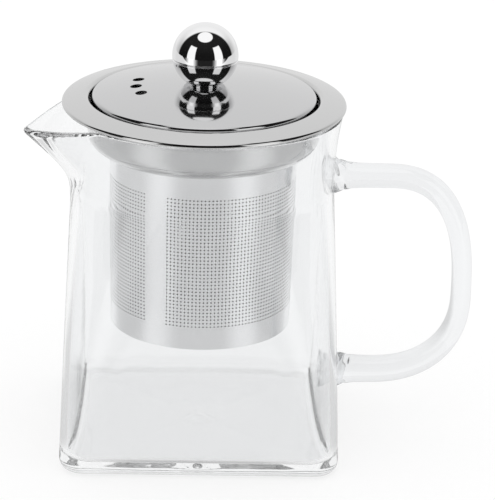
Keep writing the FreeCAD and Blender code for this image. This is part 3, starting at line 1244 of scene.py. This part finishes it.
@dataclass
class Studio:
    """White sweep behind, dark room in front with two tall soft boxes, and a small light overhead.

    The floor stands still and the room turns with the camera. Edges on the floor are in metres from the
    axis, and edges in the room are parts of a direction of length one.
    """

    camera_place: Triple = (-14.5612, -947.5681, 415.7538)
    camera_aim: Triple = (15.1079, 0.0, 61.7386)
    camera_roll: float = 0.0267
    camera_lens: float = 223.1
    camera_clip: float = 0.05
    bounces: int = 48

    floor_size: float = 6.0
    floor_drop: float = 0.0002
    floor_shade: float = 0.24
    floor_glow: float = 0.78
    floor_front_glow: float = 0.50
    floor_side_glow: float = 0.50
    floor_mirror_glow: float = 0.56
    front_edges: Pair = (-0.14, -0.06)
    far_edges: Pair = (-0.24, -0.18)
    under_edges: Pair = (0.02, 0.06)
    side_reach: Pair = (0.08, 0.12)
    side_front: Pair = (-0.30, -0.12)
    side_back: Pair = (0.5, 0.9)

    dark: float = 0.015
    through_glass: Pair = (0.20, 0.96)
    box_turns: Pair = (-141.0, -41.0)
    box_half_width: float = 15.0
    box_softness: float = 0.02
    box_floor_softness: float = 0.22
    box_foot: Pair = (-0.80, -0.76)
    box_head: Pair = (0.62, 0.66)
    sweep_edges: Pair = (0.22, 0.34)
    sweep_rise: Pair = (0.2, 0.8)
    sweep_depth: Pair = (0.3, 0.9)
    sweep_levels: Triple = (0.52, 0.95, 0.88)
    overhead_shift: float = 0.1
    overhead_spread: Pair = (0.12, 0.15)
    overhead_height: Pair = (0.0, 0.3)

    def camera(self) -> None:
        """Camera at the photograph's place, with its small roll."""
        place, aim = np.array(self.camera_place), np.array(self.camera_aim)
        ahead = (aim - place) / np.linalg.norm(aim - place)
        right = np.cross(ahead, [0, 0, 1])
        right /= np.linalg.norm(right)
        up = np.cross(right, ahead)
        cos, sin = math.cos(self.camera_roll), math.sin(self.camera_roll)
        frame = np.eye(4)
        frame[:3, 0] = cos * right + sin * up
        frame[:3, 1] = -sin * right + cos * up
        frame[:3, 2] = -ahead
        frame[:3, 3] = place * MM
        lens = bpy.data.cameras.new("camera")
        lens.lens = self.camera_lens
        lens.clip_start = self.camera_clip
        camera = bpy.data.objects.new("camera", lens)
        camera.matrix_world = Matrix(frame.tolist())
        bpy.context.scene.collection.objects.link(camera)
        bpy.context.scene.camera = camera

    def floor(self) -> None:
        """Pale floor: part glow, part shaded, so that it is white and still takes the shadow."""
        half = self.floor_size / 2
        corners = np.array([[-half, -half], [half, -half], [half, half], [-half, half]])
        corners = np.column_stack([corners, np.full(4, -self.floor_drop)])
        floor = mesh_piece("floor", corners / MM, np.array([[0, 1, 2, 3]]), closed=False)
        material, bench, shader = new_material("pale_floor")
        bench.tree.nodes.remove(shader)
        level, unseen = self.floor_levels(bench)
        glow = bench.add("ShaderNodeEmission")
        matt = bench.add("ShaderNodeBsdfDiffuse")
        matt.inputs["Color"].default_value = (self.floor_shade, self.floor_shade, self.floor_shade, 1)
        pale = bench.add("ShaderNodeAddShader")
        night = bench.add("ShaderNodeEmission")
        night.inputs["Strength"].default_value = self.dark
        final = bench.add("ShaderNodeMixShader")
        for source, target in (
            (level, glow.inputs["Strength"]),
            (glow.outputs[0], pale.inputs[0]),
            (matt.outputs[0], pale.inputs[1]),
            (unseen, final.inputs[0]),
            (pale.outputs[0], final.inputs[1]),
            (night.outputs[0], final.inputs[2]),
            (final.outputs[0], bench.tree.nodes["Material Output"].inputs["Surface"]),
        ):
            bench.join(source, target)
        floor.data.materials.append(material)

    def floor_levels(self, bench: NodeBench) -> tuple[Socket, Socket]:
        """Glow of the floor by place and kind of ray.

        Refracted rays find it dimmer in front, and under the pot too after steel has mirrored them. Mirrored
        rays find it a little dimmer all over, and far in front they find the dark room in its place. Both
        find it dimmer beside the pot. Towards the soft boxes the front isn't dimmed.

        Args:
            bench: Bench of the floor.

        Returns:
            Sockets of the glow, and of the share by which the dark room takes the floor's place.
        """
        x, y, _ = bench.split(bench.here())
        path = bench.add("ShaderNodeLightPath").outputs
        bent, refracted = path["Is Glossy Ray"], path["Is Transmission Ray"]
        mirrored = bench.math("SUBTRACT", bent, refracted)
        lit = self.toward_boxes(bench, x, y, self.box_floor_softness)
        unlit = bench.math("SUBTRACT", 1.0, lit)
        front = bench.ramp(y, self.front_edges, FALL)
        off_steel = bench.math("MINIMUM", path["Glossy Depth"], 1.0)
        under = bench.product(bench.ramp(y, self.under_edges, FALL), off_steel)
        dimmed = bench.product(bench.math("MAXIMUM", front, under), unlit, refracted)
        level = bench.choose(mirrored, self.floor_glow, self.floor_mirror_glow)
        level = bench.choose(dimmed, level, self.floor_front_glow)
        level = bench.choose(bench.product(self.beside(bench, x, y), bent), level, self.floor_side_glow)
        level = bench.choose(bench.product(front, lit, mirrored), level, 1.0)
        unseen = bench.product(bench.ramp(y, self.far_edges, FALL), unlit, mirrored)
        return level, unseen

    def beside(self, bench: NodeBench, x: object, y: object) -> Socket:
        """One in the two sectors of the floor left and right of the pot, and nought elsewhere.

        Args:
            bench: Bench of the floor.
            x: Socket of the first coordinate.
            y: Socket of the second.

        Returns:
            The share's socket.
        """
        reach = bench.math("ABSOLUTE", x)
        slope = bench.math("DIVIDE", y, reach)
        sector = bench.product(bench.ramp(slope, self.side_front), bench.ramp(slope, self.side_back, FALL))
        return bench.product(bench.ramp(reach, self.side_reach), sector)

    def toward_boxes(self, bench: NodeBench, x: object, y: object, soft: float) -> Socket:
        """One in the sectors of the two soft boxes, and nought elsewhere.

        Args:
            bench: Bench of the floor or the world.
            x: Socket of the first coordinate.
            y: Socket of the second.
            soft: Half width of the soft edge of a sector, in radians.

        Returns:
            The share's socket.
        """
        turn = bench.math("ARCTAN2", y, x)
        half = math.radians(self.box_half_width)
        shares = []
        for middle in self.box_turns:
            off = bench.math("ABSOLUTE", bench.math("SUBTRACT", turn, math.radians(middle)))
            shares.append(bench.ramp(off, (half - soft, half + soft), FALL))
        return bench.math("MAXIMUM", *shares)

    def room_level(self, bench: NodeBench, refracted: Socket) -> Socket:
        """Brightness of the room by direction, as mirrored and refracted rays see it.

        White where the direction points away from the camera, greyer at the sides to mirrored rays; two
        upright soft boxes at set turns in front, one round light overhead, and dark elsewhere. Directions
        are the camera's, levelled by the angle at which it looks down: y is the sine times up plus the
        cosine times ahead, and z is the cosine times up less the sine times ahead.

        Args:
            bench: Bench of the world.
            refracted: Socket that is one for refracted rays.

        Returns:
            The level's socket.
        """
        x, up, ahead = bench.split(bench.here("Camera"))
        away = (Vector(self.camera_aim) - Vector(self.camera_place)).normalized()
        sin, cos = -away.z, math.hypot(away.x, away.y)
        y = bench.math("ADD", bench.product(up, sin), bench.product(ahead, cos))
        z = bench.math("SUBTRACT", bench.product(up, cos), bench.product(ahead, sin))
        side, top, back = self.sweep_levels
        sweep = bench.ramp(z, self.sweep_rise, (side, top))
        sweep = bench.choose(bench.ramp(y, self.sweep_depth), sweep, back)
        sweep = bench.choose(refracted, sweep, 1.0)
        level = bench.product(bench.ramp(y, self.sweep_edges, (self.dark, 1.0)), sweep)
        boxes = self.toward_boxes(bench, x, y, self.box_softness)
        boxes = bench.product(boxes, bench.ramp(z, self.box_foot), bench.ramp(z, self.box_head, FALL))
        apart = bench.squares(x, bench.math("ADD", y, self.overhead_shift))
        overhead = bench.ramp(apart, self.overhead_spread, FALL)
        overhead = bench.product(overhead, bench.ramp(z, self.overhead_height))
        return bench.math("MAXIMUM", bench.math("MAXIMUM", level, boxes), overhead)

    def world(self) -> None:
        """World: white to the camera and to shaded surfaces, the room to mirrored and refracted rays.

        To refracted rays the room is lifted to the span of through_glass.
        """
        world = bpy.data.worlds.new("studio")
        world.use_nodes = True
        bpy.context.scene.world = world
        bench = NodeBench(world.node_tree)
        ground = world.node_tree.nodes["Background"]
        ground.inputs["Color"].default_value = (1, 1, 1, 1)
        path = bench.add("ShaderNodeLightPath").outputs
        refracted = path["Is Transmission Ray"]
        room = self.room_level(bench, refracted)
        level = bench.choose(path["Is Glossy Ray"], 1.0, room)
        level = bench.choose(refracted, level, bench.ramp(room, RISE, self.through_glass))
        bench.join(level, ground.inputs["Strength"])

    def build(self) -> None:
        """Set the view and the length of light paths, and make the camera, the floor and the world."""
        scene = bpy.context.scene
        scene.view_settings.view_transform = "Standard"
        scene.cycles.max_bounces = self.bounces
        scene.cycles.glossy_bounces = self.bounces
        scene.cycles.transmission_bounces = self.bounces
        self.camera()
        self.floor()
        self.world()


def millimetres(node: str) -> tuple[Vector, Vector]:
    """Lowest and highest corner of a solid of the frame, in millimetres."""
    low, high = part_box(node)
    return low / MM, high / MM


def main() -> None:
    """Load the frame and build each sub-assembly in its place."""
    logging.basicConfig(level=logging.INFO, format="%(name)s %(message)s")
    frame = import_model()
    glass = millimetres("glass_body")
    handle = millimetres("handle")
    collar = millimetres("infuser_collar")
    wall = millimetres("strainer_wall")
    dome = millimetres("lid_dome")
    ball = millimetres("knob_upper_half")
    neck = millimetres("knob_neck")

    GlassPot(
        half_side=glass[1].y,
        height=glass[1].z,
        mouth_radius=collar[1].x - FLANGE_OVERHANG,
        spout_reach=-glass[0].x,
        handle_reach=handle[1].x,
    ).build()
    Infuser(
        flange_radius=collar[1].x,
        hem_foot=glass[1].z + SEAT_GAP,
        pan_bottom=collar[0].z,
        strainer_radius=wall[1].x,
        strainer_foot=wall[0].z,
        strainer_top=wall[1].z,
    ).build()
    Lid(radius=dome[1].x, top=dome[1].z, foot=dome[0].z).build()
    BallKnob(
        ball_radius=ball[1].x,
        ball_centre=ball[1].z - ball[1].x,
        seam_drop=ball[1].z - ball[1].x - ball[0].z,
        neck_radius=neck[1].x,
        neck_foot=neck[0].z,
        neck_top=neck[1].z,
    ).build(frame["nodes"])
    Studio().build()

    bpy.context.view_layer.update()


if __name__ == "__main__":
    main()
